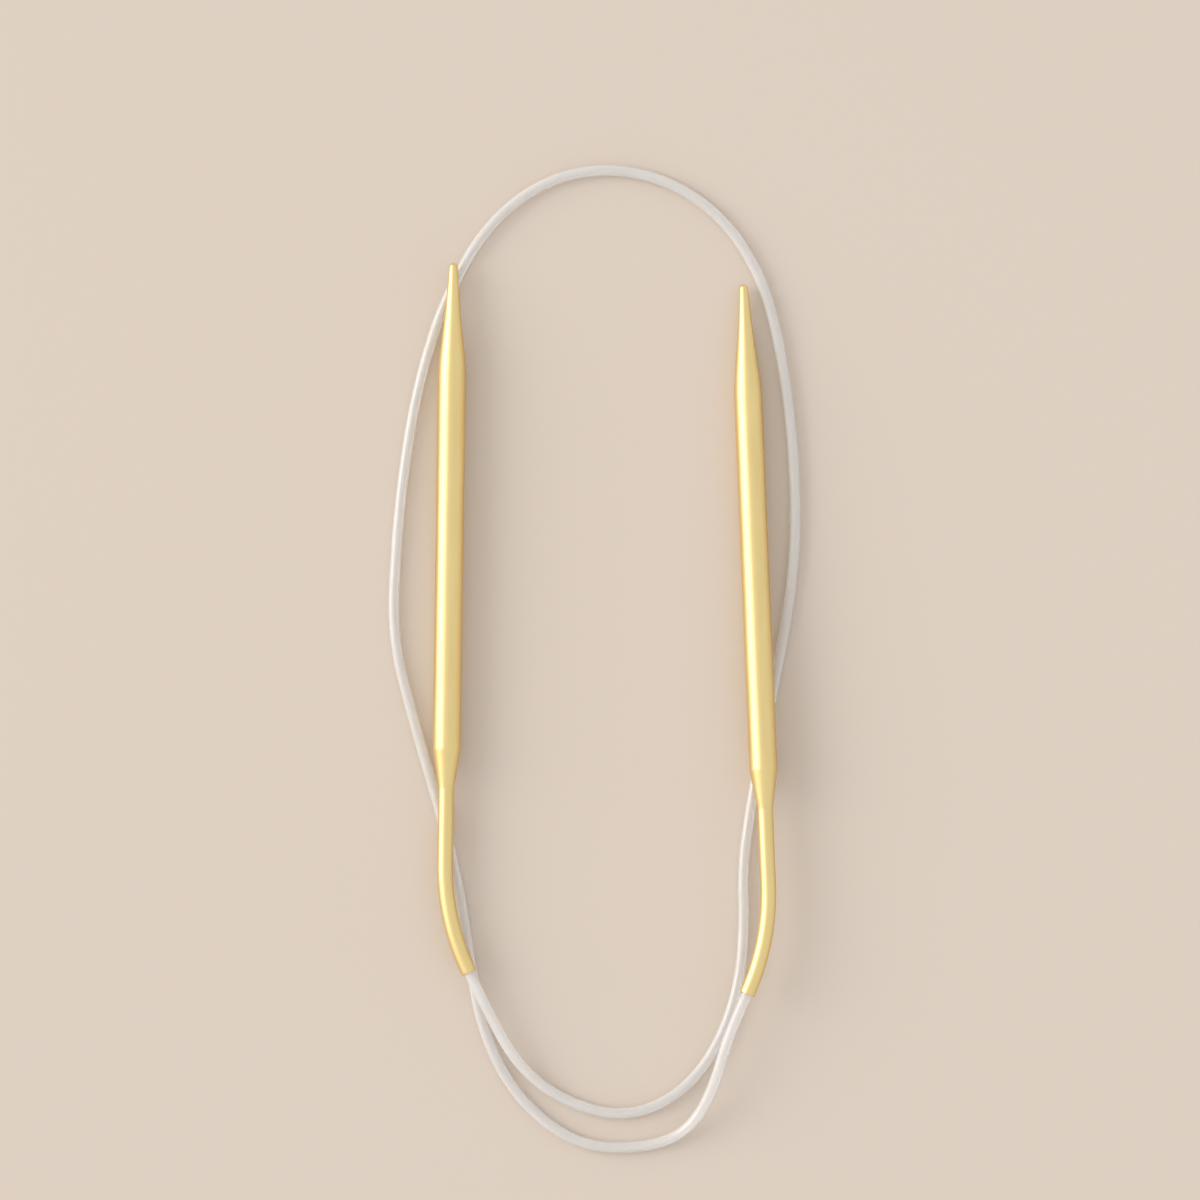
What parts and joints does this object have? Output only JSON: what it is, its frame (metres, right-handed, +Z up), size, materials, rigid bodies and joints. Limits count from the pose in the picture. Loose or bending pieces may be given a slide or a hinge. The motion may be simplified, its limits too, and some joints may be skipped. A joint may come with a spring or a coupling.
{
  "type": "circular knitting needle",
  "caption": "Circular knitting needle: bent-tailed hollow metal needles joined by a long flexible cord, for knitting tubes and wide flat pieces.",
  "frame": {"origin": "on the table, below the middle of the box that holds the two needles", "axes": "+Z up from the table, +Y towards the needles' points, +X from the left needle to the right one"},
  "size_m": [0.0736, 0.1764, 0.0074],
  "materials": {
    "anodised_aluminium": "satin, anodised pale gold",
    "frosted_cord": "smooth, frosted and translucent"
  },
  "bodies": {
    "cord": {"cord_loop": "frosted_cord", "left_cord_flex": "frosted_cord", "right_cord_flex": "frosted_cord"},
    "left_needle": {"left_needle": "anodised_aluminium", "left_cord_end": "frosted_cord"},
    "right_needle": {"right_needle": "anodised_aluminium", "right_cord_end": "frosted_cord"}
  },
  "joints": [
    {"name": "left_needle_lift", "type": "hinge", "parent": "cord", "child": "left_needle", "pos_m": [-0.0168, -0.0749, 0.00295], "axis": [0.9999, -0.014, 0], "range_deg": [0, 60], "stiffness_Nm_per_rad": 0.02, "deforming": ["left_cord_flex"]},
    {"name": "right_needle_lift", "type": "hinge", "parent": "cord", "child": "right_needle", "pos_m": [0.0196, -0.0807, 0.0047], "axis": [0.9992, 0.0401, 0], "range_deg": [0, 60], "stiffness_Nm_per_rad": 0.02, "deforming": ["right_cord_flex"]}
  ]
}
